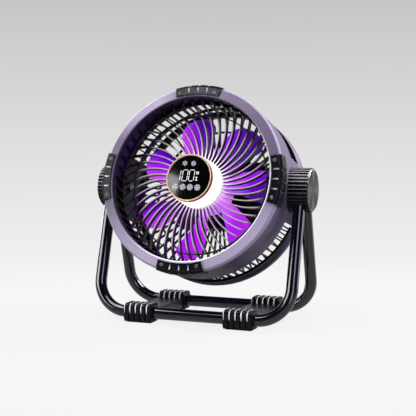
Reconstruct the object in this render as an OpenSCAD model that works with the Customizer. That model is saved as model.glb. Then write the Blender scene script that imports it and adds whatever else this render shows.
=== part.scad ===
// Portable camping fan: a round head with a lit hub, tilting between two bent-tube frames.
// Millimetres, Z up. The origin is on the ground, straight below the tilt axis.
// Head pieces are drawn in the head's own frame: Z forward along the fan's axis, Y up, X right.

/* [Stance] */
// Height of the tilt axis above the ground
pivot_h = 181.5; // [176:0.5:215]
// How far the face tips up at rest, in degrees
rest_tilt = 15.8; // [0:0.1:30]

/* [Head shell] */
// Outer radius of the front rim and the rear ring
rim_r = 127.5; // [122:0.5:132]
// Radial width of the rim's face
rim_face_w = 13; // [10:0.5:15]
// Bevel from the rim's face to its side
rim_bevel = 2.5; // [1:0.25:3]
// Small bevel on the rim's inner edge
lip_bevel = 1.5; // [0.5:0.25:2]
// Inner front edge of the rim, ahead of the tilt axis
rim_front_z = 62.4; // [58:0.2:68]
// Fall of the rim's face from its inner to its outer edge
rim_dish = 3.4; // [1:0.2:5]
// Straight side of the rim behind its bevel
rim_side = 6; // [4:0.5:9]
// Wall of the rim, the drum and the rear ring
shell_t = 3.5; // [3:0.1:4.5]
// Step in radius from the rim down to the drum
drum_step = 0.5; // [0.2:0.1:1]
// Front edge of the side vents, ahead of the tilt axis
vent_front_z = 1; // [-2:0.5:5]
// Length of the side vents along the head
vent_len = 47; // [40:1:52]
// Half angle of the solid bridge at each pivot, in degrees
bridge_half = 20; // [17:0.5:24]
// Length of the rear ring
rear_ring_len = 16; // [12:0.5:20]

/* [Grilles and vents] */
// Wall of the duct inside the rim
duct_t = 3; // [2:0.25:4]
// Back edge of the duct wall, ahead of the tilt axis
duct_back_z = 34; // [30:1:40]
// Number of curved front ribs
rib_count = 48; // [24:4:60]
// Thickness of a front rib
rib_t = 1.5; // [1:0.1:2]
// Depth of a front rib along the head
rib_depth = 8; // [5:0.5:10]
// Front edge of the ribs, ahead of the tilt axis
rib_front_z = 24.6; // [21:0.2:27]
// Radius of a rib's arc
rib_arc_r = 85; // [75:1:120]
// Lean of a rib where it leaves the collar, in degrees
rib_lean = 4; // [0:0.5:10]
// Inset of the thin guard ring from the rim's opening
guard_inset = 15; // [8:1:30]
// Radial width of the guard ring
guard_w = 1.4; // [1:0.1:2.5]
// Depth of the guard ring
guard_depth = 4; // [2:0.5:6]
// Pitch of the vent struts, in degrees
strut_pitch = 4.5; // [4:0.25:10]
// Thickness of a vent strut
strut_t = 2; // [1.4:0.1:3]
// Depth of the struts between the side windows
strut_w = 3.2; // [2:0.2:7]
// Number of rear ribs
rear_rib_count = 60; // [36:6:72]
// Thickness of a rear rib
rear_rib_t = 1.9; // [1.2:0.1:2.2]

/* [Lit hub and display] */
// Radius of the collar in the middle of the front grille
collar_r = 34; // [33.4:0.2:38]
// Front edge of the collar, ahead of the tilt axis
collar_front_z = 28.6; // [27:0.2:32]
// Radius of the glass display
lens_r = 30.1; // [26:0.1:31]
// Width of the metal bezel round the glass
bezel_w = 2.4; // [1.5:0.1:3]
// Front face of the bezel, ahead of the tilt axis
bezel_front_z = 61.9; // [58:0.1:66]
// Height of the bezel ring
bezel_h = 6; // [5:0.25:8]

/* [Impeller and motor] */
// Number of blades
blade_count = 7; // [5:1:9]
// Gap between the blade tips and the rim's opening
tip_gap = 9.4; // [6:0.2:25]
// Angle that a blade covers, in degrees
blade_span = 31; // [20:1:36]
// Front-to-back rise of a blade at its middle radius
blade_rise = 19; // [12:0.5:22]
// Thickness of a blade
blade_t = 2.2; // [1.6:0.1:3]
// Radius of the impeller's hub cup
cup_r = 34; // [32:0.2:36]
// Length of the hub cup
cup_len = 30; // [26:0.5:32]
// Front face of the hub cup, ahead of the tilt axis
cup_front_z = 6; // [3:0.5:8]
// Radius of the motor shaft
shaft_r = 2.5; // [2:0.1:3]

/* [Rear pod] */
// Gap between the battery cells and the control board
pod_mid_gap = 8.5; // [7:0.5:16]
// Room above and below the battery cells
pod_margin = 9.7; // [9:0.1:14]
// Rise of the pod's centre above the fan's axis
pod_rise = 4; // [0:1:12]
// Corner radius of the pod
pod_corner_r = 12; // [10:0.5:13]
// Wall of the pod
pod_t = 2; // [1.6:0.1:2.6]
// Diameter of a battery cell
cell_d = 18.2; // [17:0.1:18.6]
// Length of a battery cell
cell_len = 65; // [60:0.5:66]
// Number of battery cells
cell_count = 4; // [3:1:4]

/* [Bumper pads] */
// Half angle that a pad covers, in degrees
pad_half = 15.2; // [14:0.2:18]
// Reach of a pad inward over the rim's face, from the rim's outer radius
pad_reach = 12.3; // [10:0.1:13]
// Thickness of a pad
pad_t = 1.8; // [1.4:0.1:2.2]
// Length of a pad's skirt along the head
pad_skirt = 17; // [12:0.5:22]
// Angle between the pad's grooves, in degrees
groove_pitch = 6.2; // [5:0.1:7]
// Angle from the pad's middle to its screws, in degrees
pad_screw_a = 11.9; // [11:0.1:13]

/* [Pivots] */
// Radius of the ribbed pivot hubs
hub_r = 29.4; // [24:0.2:30]
// Reach of the pivot hubs past the middle of the leg tubes
hub_reach = 10; // [9:0.5:13]
// Depth of the pocket that a hub sits in
pocket_depth = 6; // [4:0.5:8]
// Number of ribs round a hub and its knob
hub_rib_count = 36; // [24:2:44]
// Radius of the pivot bolt
bolt_r = 4; // [3:0.25:5]
// Thickness of the clamp knob with its cap
knob_len = 4.7; // [4:0.1:7]
// Radius of the turned metal cap
cap_r = 27.8; // [22:0.2:28]

/* [Stand] */
// Radius of the frame tube
tube_r = 8.1; // [7:0.1:8.5]
// Wall of the frame tube
tube_t = 1.5; // [1:0.1:2]
// Clearance between the rim and the leg tubes
leg_gap = 3.4; // [2.9:0.1:6]
// Bend radius at the corners, at the tube's centre line
bend_r = 44; // [30:1:55]
// Distance of each ground tube from the middle
foot_y = 56.5; // [50:0.5:75]
// Distance of each leg from the middle, at the tilt axis
leg_top_y = 9.2; // [8:0.2:12]
// Height of the ground tubes' centre
tube_h = 13; // [12.5:0.1:16]

/* [Feet] */
// Distance of the feet from the middle
sleeve_x = 72; // [55:1:75]
// Length of a foot sleeve along the tube
sleeve_len = 41.5; // [30:0.5:50]
// Number of ribs on a sleeve
sleeve_rib_count = 5; // [3:1:7]
// Half width of a sleeve rib
sleeve_half = 13.2; // [12:0.2:15]
// Depth of the grooves between the sleeve ribs
sleeve_groove = 1.8; // [1:0.1:2.4]
// Rise of the bridge's top above the tubes' centre
bridge_rise = 4.6; // [3:0.2:8]
// Height of the bridge's side walls
bridge_h = 13; // [8:0.5:15]
// Wall of the bridge
bridge_t = 3.2; // [2:0.2:4]
// Thickness of the rubber feet
rubber_t = 1.6; // [1:0.1:2.5]

/* [Hidden] */
$fn = 96;

// Overrun of every cut
over = 1;
// Clearance between pieces that seat on each other
seat = 0.1;
// Clearance between pieces that turn past each other
turn_gap = 0.3;
// Clearance of a shaft in what it turns in
run_gap = 0.05;

// Head shell
rim_edge_z = rim_front_z - rim_dish;
rim_back_z = rim_edge_z - rim_bevel - rim_side;
open_r = rim_r - rim_bevel - rim_face_w;
guard_r = open_r - guard_inset;
blade_tip_r = open_r - tip_gap;
leg_x = rim_r + leg_gap + tube_r;
hub_out_x = leg_x + hub_reach;
drum_r = rim_r - drum_step;
drum_in_r = rim_r - shell_t;
vent_back_z = vent_front_z - vent_len;
rear_z = vent_back_z - rear_ring_len;

// Grilles and vents
duct_out_r = open_r + duct_t;
band_step_share = 1 / 3;
band_t = duct_t * (1 + band_step_share);
band_in_r = duct_out_r - band_t;
band_len = 3.5;
fin_ring_t = 1.6;
band_back_z = duct_back_z - band_len;
flange_t = 3;
fin_w = 2.4;
fin_t = 3.2;
fin_len = 16;
fin_slant = 16;
fin_ring_h = 3;
collar_t = 2.5;
rib_back_z = rib_front_z - rib_depth;
collar_floor_z = rib_back_z - rib_t / 2;
collar_floor_t = 2;
basket_out_r = drum_in_r - seat;
hoop_w = 6.7;
hoop_in_r = basket_out_r - hoop_w;
basket_front_z = rib_back_z - rib_t / 2 - turn_gap;
basket_in_r = basket_out_r - strut_w;
mid_band_share = 34 / 47;
mid_band_front_z = vent_front_z - mid_band_share * vent_len;
mid_band_len = 3;
mid_band_lap = 0.8;
mid_band_end = 1;
ring_slope = 6;
grille_ring_len = rear_ring_len / 2;
basket_rear_len = 4;
strut_count = floor((180 - 2 * bridge_half) / strut_pitch);
basket_back_z = rear_z + grille_ring_len;
rear_rib_depth = 5;
rear_rib_inset = 0.5;
grille_ring_w = 4.4;
rear_ring2_w = 2;
motor_plate_t = rear_rib_depth + rear_rib_inset;

// Rib arcs: centre of the arc, and the angle where it meets a circle of radius r
rib_cx = collar_r - rib_t + rib_arc_r * sin(rib_lean);
rib_cy = rib_arc_r * cos(rib_lean);
rib_c = norm([rib_cx, rib_cy]);
function rib_end(r) = atan2(rib_cy, rib_cx)
    - acos((r * r - rib_c * rib_c - rib_arc_r * rib_arc_r) / (2 * rib_arc_r * rib_c));

// Lit hub and display
bezel_back_z = bezel_front_z - bezel_h;
bezel_shelf = 2;
lens_t = bezel_h - bezel_shelf - 2 * turn_gap;
lamp_step = 0.7;
lamp_foot_r = collar_r - lamp_step;
lamp_top_r = lens_r + bezel_w + bezel_w / 4;
lamp_t = 1.8;
post_r = 12.5;
post_t = 2.5;
carrier_r = lens_r;
carrier_t = 2;
carrier_len = 5;
carrier_front_z = bezel_back_z;
carrier_back_z = carrier_front_z - carrier_len;
board_t = 1.6;
led_count = 24;
led_size = 2.8;
led_h = 0.9;

// Impeller and motor
cup_t = 2.2;
cup_back_z = cup_front_z - cup_len;
boss_r = 6;
boss_len = 8.5;
can_t = 1.3;
can_out_r = cup_r - cup_t - seat;
can_in_r = can_out_r - can_t;
magnet_t = 2.5;
magnet_in_r = can_in_r - seat - magnet_t;
air_gap = 0.6;
stator_r = magnet_in_r - air_gap;
pole_count = 9;
pole_w = 4;
shoe_t = 2;
shoe_gap = 3;
stator_hub_r = 12;
coil_w = 2.3;
coil_len = 8.4;
stator_len = 12;
magnet_len = 16;
magnet_drop = 3.5;
magnet_front_z = cup_front_z - cup_t - can_t - magnet_drop;
stator_front_z = magnet_front_z - (magnet_len - stator_len) / 2;
bearing_r = 6.4;
bearing_len = 5;
bearing_groove = 0.6;
tube_wall = 1.6;
bearing_tube_r = bearing_r + seat + tube_wall;
bearing_tube_front_z = cup_front_z - boss_len - turn_gap;
base_t = 3;
base_step = 1;
base_r = cup_r - base_step;
base_back_z = rear_z + motor_plate_t;
motor_cover_step = 2;
motor_cover_r = cup_r + motor_cover_step;
motor_cover_t = 1.5;
motor_cover_gap = 3;
shaft_out = 6;
shaft_rise = 3;
shaft_front_z = cup_front_z + shaft_out;
shaft_back_z = base_back_z + base_t + shaft_rise;
nut_r = 5.2;
nut_len = 5;

// Blades: planform, sweep and twist as functions of radius
blade_root_r = cup_r - cup_t / 2;
blade_mid_r = (blade_tip_r + cup_r) / 2;
blade_mid_share = 14 / 30;
blade_mid_z = cup_front_z - blade_mid_share * cup_len;
blade_zero = 5.2;
blade_sweep = 12;
blade_round_share = 0.27;
blade_camber = 3;
blade_root_rise_share = 1.1;
blade_tip_rise_share = 0.78;
blade_stations = 9;
blade_steps = 10;
blade_edge_share = 0.35;
blade_last_share = 0.985;
blade_spread_power = 1.7;
blade_round_r = blade_tip_r - blade_round_share * (blade_tip_r - cup_r);
function blade_u(i) = i / blade_stations;
function blade_r(i) = i == 0 ? blade_root_r
    : cup_r + (blade_tip_r - cup_r) * (1 - pow(1 - blade_u(i), blade_spread_power));
function blade_half(r) = blade_span / 2 * (r <= blade_round_r ? 1
    : sqrt(1 - pow(blade_last_share * (r - blade_round_r) / (blade_tip_r - blade_round_r), 2)));
function blade_axis(r) = blade_zero - blade_sweep * (r - blade_mid_r) / (blade_tip_r - cup_r);
function blade_lift(r) = blade_rise * (blade_root_rise_share + (blade_tip_rise_share
    - blade_root_rise_share) * (r - cup_r) / (blade_tip_r - cup_r)) * blade_half(r) / (blade_span / 2);
function blade_point(i, j, side) = let (r = blade_r(i), v = 2 * j / blade_steps - 1,
    a = blade_axis(r) + v * blade_half(r),
    skin = blade_t / 2 * (1 - (1 - blade_edge_share) * pow(v, 4)))
    [r * cos(a), r * sin(a), blade_mid_z + v * blade_lift(r) / 2
        - blade_camber * (1 - v * v) + side * skin];

// Rear pod
pod_front_z = rear_z;
cell_gap = 0.6;
tray_t = 1;
control_w = 46;
control_h = 72;
control_gap = 2.5;
cell_pitch = cell_d + cell_gap;
pod_w = 2 * (pod_t + tray_t) + cell_len + pod_mid_gap + control_w + control_gap;
pod_h = cell_count * cell_pitch - cell_gap + 2 * (pod_t + pod_margin);
pod_inner_z = pod_front_z - pod_t;
cell_z = pod_inner_z - tray_t - seat - cell_d / 2;
pod_split_z = cell_z - cell_d / 2 - turn_gap;
pod_back_z = pod_split_z - pod_t;
cover_step = 3;
cell_x = -(pod_w / 2 - pod_t - 2 * tray_t - cell_len / 2);
control_x = pod_w / 2 - pod_t - control_gap - control_w / 2;
control_z = pod_inner_z - control_gap;
post_small_r = 2.4;
control_inset = 4;
port_w = 9;
port_h = 3.2;
port_len = 7.3;
port_t = 0.3;
port_z = control_z - board_t - port_h / 2;
port_drop = 15;
port_y = pod_rise - port_drop;
port_x = pod_w / 2 - port_len;
flap_w = 16;
flap_h = 9;
flap_t = 1.8;
flap_pin_r = 0.9;
flap_plug_len = 1.5;
flap_plug_gap = 0.6;
pod_screw_inset = 7;
pod_screw_r = 2.6;
pod_screw_h = 1.4;
pod_screw_shank_r = 1.4;
pod_screw_len = 12;
pod_screw_end_gap = 2;
pod_boss_r = 3.5;

// Bumper pads
pad_r = rim_r + pad_t;
pad_in_r = rim_r - pad_reach;
pad_front_t = 2.6;
pad_seat_z = rim_edge_z + rim_dish * (rim_r - rim_bevel - pad_in_r) / (rim_face_w - lip_bevel);
pad_back_z = rim_edge_z - pad_skirt;
groove_w = 1.8;
groove_len = 7.6;
groove_depth = 1.2;
groove_inset = 6.7;
groove_r = rim_r - groove_inset;
inlay_drop = 0.5;
notch_w = 6.4;
notch_share = 2 / 3;
notch_depth = notch_share * pad_t;
pad_screw_r = 2.3;
pad_screw_inset = 7.2;
pad_screw_at_r = rim_r - pad_screw_inset;
pad_screw_h = 1.2;
pad_screw_sink = 0.7;
pad_screw_shank_r = 1;
pad_screw_len = 6;
recess_r = 1.15;
recess_depth = 0.8;
pad_top_z = pad_seat_z + pad_front_t;

// Pivots
pocket_gap = 0.8;
pocket_r = hub_r + pocket_gap;
cup_wall = 2.5;
side_cup_r = pocket_r + cup_wall;
pocket_x = drum_r - pocket_depth;
side_floor_t = 5.4;
side_back_x = pocket_x - side_floor_t;
washer_t = 0.6;
hub_in_x = pocket_x + washer_t;
washer_in_r = 8;
washer_out_r = 20;
bolt_head_r = 7;
bolt_head_h = 3.4;
hub_groove_w = 2.2;
hub_groove_depth = 1;
socket_stop = 13;
knob_in_x = hub_out_x + turn_gap;
knob_out_x = knob_in_x + knob_len;
cap_t = 2.2;
cap_rise = 0.9;
cap_in_x = knob_out_x - cap_t;
knob_skirt_len = 2.8;
knob_edge = 1.4;

// Stand
leg_lean = atan((foot_y - leg_top_y) / (pivot_h - tube_h));
leg_len = norm([foot_y - leg_top_y, pivot_h - tube_h]);
socket_r = tube_r + seat;

// Feet
sleeve_top = tube_h + sleeve_half;
sleeve_pitch = sleeve_len / sleeve_rib_count;
sleeve_rib_w = 5.4;
sleeve_corner_r = 5;
split_gap = 0.4;
rubber_w = 16;
rubber_inset = 3;
bridge_top = tube_h + bridge_rise;
bridge_w = sleeve_len - (sleeve_pitch - sleeve_rib_w);
foot_screw_r = 2.5;
foot_screw_shank_r = 1.6;
foot_screw_h = 1.5;
foot_screw_offset = 2.6;
foot_screw_y = tube_r + foot_screw_offset;

// Colours
mauve = "#8d7c99";
mauve_dark = "#3f3350";
black = "#1b1b1e";
dark = "#2b2a2e";
lamp_white = "#fdf8ff";
violet = "#8a1cf0";
rose_gold = "#d9a06a";
steel = "#8f9196";
board_green = "#1f5a38";
copper = "#b4602f";
rubber = "#202022";

module in_head() translate([0, 0, pivot_h]) rotate([90 - rest_tilt, 0, 0]) children();

// A ring turned round the fan's axis from two radii and two heights
module ring(r_in, r_out, z_low, z_high) translate([0, 0, z_low]) difference() {
    cylinder(r = r_out, h = z_high - z_low);
    translate([0, 0, -over]) cylinder(r = r_in, h = z_high - z_low + 2 * over);
}

// A cylinder along X between two places
module bar_x(r, x_low, x_high) translate([x_low, 0, 0]) rotate([0, 90, 0])
    cylinder(r = r, h = x_high - x_low);

module both_sides() for (m = [0, 1]) mirror([m, 0, 0]) children();

module rounded_rect(w, h, r) {
    square([w - 2 * r, h], center = true);
    square([w, h - 2 * r], center = true);
    for (x = [-1, 1], y = [-1, 1]) translate([x * (w / 2 - r), y * (h / 2 - r)]) circle(r);
}

module pad_places() for (p = [0:3]) rotate(p * 90) children();

module pad_screw_places() pad_places() for (s = [-1, 1]) rotate(s * pad_screw_a)
    translate([pad_screw_at_r, 0, 0]) children();

// Room for the pivot pockets and the bolt heads inside the head
module pivot_room() both_sides() {
    bar_x(side_cup_r + seat, side_back_x - seat, rim_r + over);
    bar_x(bolt_head_r + turn_gap, side_back_x - 2 * bolt_head_h, side_back_x);
}

// Head shell
module front_rim() color(mauve) in_head() difference() {
    rotate_extrude() polygon([[open_r, rim_back_z], [open_r, rim_front_z - lip_bevel],
        [open_r + lip_bevel, rim_front_z], [rim_r - rim_bevel, rim_edge_z],
        [rim_r, rim_edge_z - rim_bevel], [rim_r, rim_back_z], [drum_in_r, rim_back_z],
        [drum_in_r, rim_edge_z - shell_t], [duct_out_r, rim_edge_z - shell_t],
        [duct_out_r, rim_back_z]]);
    pad_screw_places() translate([0, 0, rim_edge_z - shell_t - over])
        cylinder(r = pad_screw_shank_r + seat, h = 2 * shell_t + rim_dish);
}

module drum_shell() color(mauve) in_head() difference() {
    union() {
        ring(drum_in_r, drum_r, vent_back_z, rim_back_z);
        difference() {
            both_sides() bar_x(side_cup_r, side_back_x, rim_r);
            ring(drum_r - shell_t / 2, drum_r + side_cup_r, -side_cup_r - over, side_cup_r + over);
        }
    }
    for (s = [0, 180]) rotate(s + bridge_half) rotate_extrude(angle = 180 - 2 * bridge_half)
        translate([drum_in_r - over, vent_back_z - over]) square([shell_t + 2 * over, vent_len + over]);
    both_sides() {
        bar_x(pocket_r, pocket_x, rim_r + over);
        bar_x(bolt_r + seat, side_back_x - over, rim_r);
    }
}

module rear_ring() color(mauve) in_head() rotate_extrude() polygon([[drum_in_r, vent_back_z],
    [rim_r, vent_back_z - ring_slope], [rim_r, rear_z + rim_bevel], [rim_r - rim_bevel, rear_z],
    [drum_in_r, rear_z]]);

module duct_wall() color(mauve_dark) in_head() ring(open_r, duct_out_r, duct_back_z, rim_back_z);

module front_rib() translate([rib_cx, rib_cy, rib_back_z]) rotate(rib_end(collar_r - collar_t / 3))
    rotate_extrude(angle = rib_end(hoop_in_r + hoop_w / 4) - rib_end(collar_r - collar_t / 3))
        translate([rib_arc_r - rib_t / 2, 0]) square([rib_t, rib_depth]);

module duct_fin() translate([open_r - turn_gap - fin_w, 0, duct_back_z + rib_t / 2])
    rotate([fin_slant, 0, 0]) translate([0, -fin_t / 2, 0]) cube([fin_w, fin_t, fin_len]);

module duct_band() color(black) in_head() difference() {
    union() {
        ring(band_in_r, duct_out_r, band_back_z, duct_back_z);
        ring(duct_out_r - seat, basket_out_r, band_back_z, band_back_z + flange_t);
    }
    pivot_room();
}

// Slanted fins inside the duct wall, on a thin ring that seats in the band
module duct_fins() color(black) in_head() {
    ring(band_in_r - seat - fin_ring_t, band_in_r - seat, duct_back_z + rib_t - fin_ring_h,
        duct_back_z + rib_t);
    for (k = [0:rib_count - 1]) rotate(360 * k / rib_count + fin_slant) duct_fin();
}

module front_grille() color(black) in_head() difference() {
    union() {
        ring(collar_r - collar_t, collar_r, collar_floor_z, collar_front_z);
        translate([0, 0, collar_floor_z]) cylinder(r = collar_r - 3 / 4 * collar_t, h = collar_floor_t);
        ring(guard_r - guard_w / 2, guard_r + guard_w / 2, rib_front_z - guard_depth,
            rib_front_z + guard_w / 4);
        ring(hoop_in_r, basket_out_r, rib_back_z - rib_t / 2, rib_front_z + rib_t / 2);
        for (k = [0:rib_count - 1]) rotate(360 * k / rib_count) front_rib();
    }
    pivot_room();
}

module vent_basket() color(black) in_head() difference() {
    union() {
        ring(basket_in_r, basket_out_r, vent_front_z, basket_front_z);
        for (s = [0, 180]) rotate(s + bridge_half + mid_band_end)
            rotate_extrude(angle = 180 - 2 * bridge_half - 2 * mid_band_end)
                translate([basket_out_r - mid_band_lap, mid_band_front_z - mid_band_len])
                    square([drum_r - turn_gap - basket_out_r + mid_band_lap, mid_band_len]);
        ring(basket_in_r, basket_out_r, basket_back_z, basket_back_z + basket_rear_len);
        for (s = [-1, 1], k = [0:strut_count - 1])
            rotate(s * 90 + (k - (strut_count - 1) / 2) * strut_pitch)
                translate([basket_in_r + seat, -strut_t / 2, basket_back_z + seat])
                    cube([strut_w - 2 * seat, strut_t, basket_front_z - basket_back_z - 2 * seat]);
    }
    pivot_room();
}

module rear_grille() color(black) in_head() difference() {
    union() {
        ring(basket_out_r - grille_ring_w, basket_out_r, rear_z, basket_back_z);
        ring(guard_r - rear_ring2_w / 2, guard_r + rear_ring2_w / 2, rear_z,
            rear_z + rear_rib_depth - rear_rib_inset);
        translate([0, 0, rear_z]) cylinder(r = motor_cover_r, h = motor_plate_t);
        for (k = [0:rear_rib_count - 1]) rotate(360 * k / rear_rib_count)
            translate([motor_cover_r - rear_rib_t, -rear_rib_t / 2, rear_z + rear_rib_inset])
                cube([basket_out_r - grille_ring_w / 2 - motor_cover_r + rear_rib_t, rear_rib_t,
                    rear_rib_depth - rear_rib_inset]);
    }
    pod_screw_places() translate([0, 0, rear_z - over])
        cylinder(r = pod_screw_shank_r + seat, h = rear_rib_depth + 2 * over);
}

// Bumper pads
module pad() difference() {
    rotate(-pad_half) rotate_extrude(angle = 2 * pad_half) polygon([[pad_in_r, pad_seat_z + seat],
        [pad_in_r, pad_top_z], [rim_r - rim_bevel, rim_edge_z + pad_front_t],
        [pad_r, rim_edge_z - rim_bevel / 2 + seat], [pad_r, pad_back_z],
        [rim_r + seat, pad_back_z], [rim_r + seat, rim_edge_z - rim_bevel + seat],
        [rim_r - rim_bevel, rim_edge_z + seat]]);
    for (k = [-1:1]) rotate(k * groove_pitch) {
        groove(groove_w, pad_surface_z(groove_r) - groove_depth, 2 * groove_depth);
        translate([pad_r + notch_w / 2 - notch_depth, 0, pad_back_z - over])
            cylinder(r = notch_w / 2, h = pad_skirt + pad_front_t + 2 * over);
    }
    for (s = [-1, 1]) rotate(s * pad_screw_a) translate([pad_screw_at_r, 0, 0]) {
        translate([0, 0, rim_edge_z - over])
            cylinder(r = pad_screw_shank_r + seat, h = rim_dish + pad_front_t + 2 * over);
        translate([0, 0, pad_surface_z(pad_screw_at_r) - pad_screw_sink])
            cylinder(r = pad_screw_r + 2 * seat, h = pad_front_t);
    }
}

// Height of the pad's front face at a radius
function pad_surface_z(r) = rim_edge_z + pad_front_t
    + (pad_top_z - rim_edge_z - pad_front_t) * (rim_r - rim_bevel - r) / (rim_r - rim_bevel - pad_in_r);

module groove(w, z, h) translate([groove_r, 0, z]) {
    translate([0, 0, h / 2]) cube([groove_len - w, w, h], center = true);
    for (s = [-1, 1]) translate([s * (groove_len - w) / 2, 0, 0]) cylinder(r = w / 2, h = h);
}

module pad_right() color(rubber) in_head() pad();
module pad_top() color(rubber) in_head() rotate(90) pad();
module pad_left() color(rubber) in_head() rotate(180) pad();
module pad_bottom() color(rubber) in_head() rotate(270) pad();

module pad_inlays() color("silver") in_head() pad_places() for (k = [-1:1]) rotate(k * groove_pitch)
    groove(groove_w - 2 * seat, pad_surface_z(groove_r) - groove_depth, groove_depth - inlay_drop);

module pad_screws() color(steel) in_head() pad_screw_places() {
    translate([0, 0, pad_surface_z(pad_screw_at_r) - pad_screw_sink]) difference() {
        cylinder(r = pad_screw_r, h = pad_screw_h);
        translate([0, 0, pad_screw_h - recess_depth]) cylinder(r = recess_r, h = recess_depth + over);
    }
    translate([0, 0, pad_surface_z(pad_screw_at_r) - pad_screw_sink - pad_screw_len])
        cylinder(r = pad_screw_shank_r, h = pad_screw_len);
}

// Lit hub and display
module led_board() color(board_green) in_head() {
    ring(post_r + turn_gap, collar_r - collar_t - turn_gap, collar_floor_z + collar_floor_t,
        collar_floor_z + collar_floor_t + board_t);
    for (k = [0:led_count - 1]) rotate(360 * k / led_count)
        translate([(collar_r + post_r) / 2, -led_size / 2, collar_floor_z + collar_floor_t + board_t])
            cube([led_size, led_size, led_h]);
}

module lamp_diffuser() color(lamp_white) in_head() rotate_extrude() polygon([
    [lamp_foot_r, collar_front_z], [lamp_top_r, bezel_back_z], [lamp_top_r - lamp_t, bezel_back_z],
    [lamp_foot_r - lamp_t, collar_front_z]]);

module display_carrier() color(dark) in_head() {
    ring(post_r - post_t, post_r, collar_floor_z + collar_floor_t, carrier_back_z + carrier_t / 2);
    translate([0, 0, carrier_back_z]) cylinder(r = carrier_r, h = carrier_t);
    ring(carrier_r - carrier_t, carrier_r, carrier_back_z + carrier_t, carrier_front_z);
}

module display_board() color(board_green) in_head() {
    translate([0, 0, carrier_back_z + carrier_t])
        cylinder(r = carrier_r - carrier_t - turn_gap, h = board_t);
    for (s = [-1, 1]) translate([s * carrier_r / 3, 0, carrier_back_z + carrier_t + board_t + led_h / 2])
        cube([2 * led_size, 3 * led_size, led_h], center = true);
}

module display_bezel() color(rose_gold) in_head() rotate_extrude() polygon([
    [lens_r - bezel_shelf, bezel_back_z], [lens_r + bezel_w, bezel_back_z],
    [lens_r + bezel_w, bezel_front_z - bezel_w / 4], [lens_r + 3 / 4 * bezel_w, bezel_front_z],
    [lens_r + seat + bezel_w / 4, bezel_front_z], [lens_r + seat, bezel_front_z - bezel_w / 4],
    [lens_r + seat, bezel_back_z + bezel_shelf], [lens_r - bezel_shelf, bezel_back_z + bezel_shelf]]);

module display_lens() color("black") in_head() rotate_extrude() polygon([
    [0, bezel_back_z + bezel_shelf], [lens_r, bezel_back_z + bezel_shelf],
    [lens_r, bezel_back_z + bezel_shelf + lens_t - turn_gap],
    [lens_r - turn_gap, bezel_back_z + bezel_shelf + lens_t],
    [0, bezel_back_z + bezel_shelf + lens_t]]);

// Motor
module motor_base() color(dark) in_head() {
    translate([0, 0, base_back_z]) cylinder(r = base_r, h = base_t);
    difference() {
        translate([0, 0, base_back_z]) cylinder(r = bearing_tube_r, h = bearing_tube_front_z - base_back_z);
        translate([0, 0, shaft_back_z - turn_gap])
            cylinder(r = bearing_r + seat, h = bearing_tube_front_z - shaft_back_z + turn_gap + over);
    }
}

module motor_cover() color(black) in_head() ring(motor_cover_r - motor_cover_t, motor_cover_r,
    base_back_z, cup_back_z - motor_cover_gap);

module pole_places() for (k = [0:pole_count - 1]) rotate(360 * k / pole_count) children();

module stator_core() color(steel) in_head() translate([0, 0, stator_front_z - stator_len]) difference() {
    union() {
        ring(bearing_tube_r + seat, stator_hub_r, 0, stator_len);
        pole_places() translate([stator_hub_r - shoe_t, -pole_w / 2, 0])
            cube([stator_r - stator_hub_r, pole_w, stator_len]);
        ring(stator_r - shoe_t, stator_r, 0, stator_len);
    }
    pole_places() rotate(180 / pole_count) translate([stator_r - 2 * shoe_t, -shoe_gap / 2, -over])
        cube([3 * shoe_t, shoe_gap, stator_len + 2 * over]);
}

module stator_coils() color(copper) in_head() pole_places()
    translate([stator_hub_r + turn_gap + shoe_t / 2, 0, stator_front_z - stator_len / 2]) difference() {
        translate([coil_len / 2, 0, 0])
            cube([coil_len, pole_w + 2 * coil_w, stator_len + 2 * coil_w], center = true);
        cube([4 * coil_len, pole_w + 2 * seat, stator_len + 2 * seat], center = true);
    }

module bearing(z) translate([0, 0, z]) rotate_extrude() difference() {
    translate([shaft_r + run_gap, 0]) square([bearing_r - shaft_r - run_gap, bearing_len]);
    for (e = [0, bearing_len]) translate([(bearing_r + shaft_r) / 2, e])
        square([2 * bearing_groove, bearing_groove], center = true);
}

module bearing_front() color(steel) in_head() bearing(bearing_tube_front_z - bearing_len);
module bearing_rear() color(steel) in_head() bearing(shaft_back_z + turn_gap);

// Impeller and rotor
module blade() {
    n = blade_steps + 1;
    m = blade_stations + 1;
    top = [for (i = [0:blade_stations], j = [0:blade_steps]) blade_point(i, j, 1)];
    low = [for (i = [0:blade_stations], j = [0:blade_steps]) blade_point(i, j, -1)];
    t0 = m * n;
    faces_top = [for (i = [0:m - 2], j = [0:n - 2], h = [0, 1]) h == 0
        ? [i * n + j, (i + 1) * n + j + 1, (i + 1) * n + j]
        : [i * n + j, i * n + j + 1, (i + 1) * n + j + 1]];
    faces_low = [for (f = faces_top) [t0 + f[0], t0 + f[2], t0 + f[1]]];
    sides = [for (i = [0:m - 2], h = [0, 1]) h == 0
        ? [i * n, (i + 1) * n, t0 + (i + 1) * n] : [i * n, t0 + (i + 1) * n, t0 + i * n]];
    sides_far = [for (i = [0:m - 2], h = [0, 1]) let (a = i * n + n - 1, b = a + n) h == 0
        ? [a, t0 + b, b] : [a, t0 + a, t0 + b]];
    root = [for (j = [0:n - 2], h = [0, 1]) h == 0 ? [j, t0 + j + 1, j + 1] : [j, t0 + j, t0 + j + 1]];
    tip = [for (j = [0:n - 2], h = [0, 1]) let (a = (m - 1) * n + j) h == 0
        ? [a, a + 1, t0 + a + 1] : [a, t0 + a + 1, t0 + a]];
    polyhedron(points = concat(top, low), faces = concat(faces_top, faces_low, sides, sides_far, root, tip));
}

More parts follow.
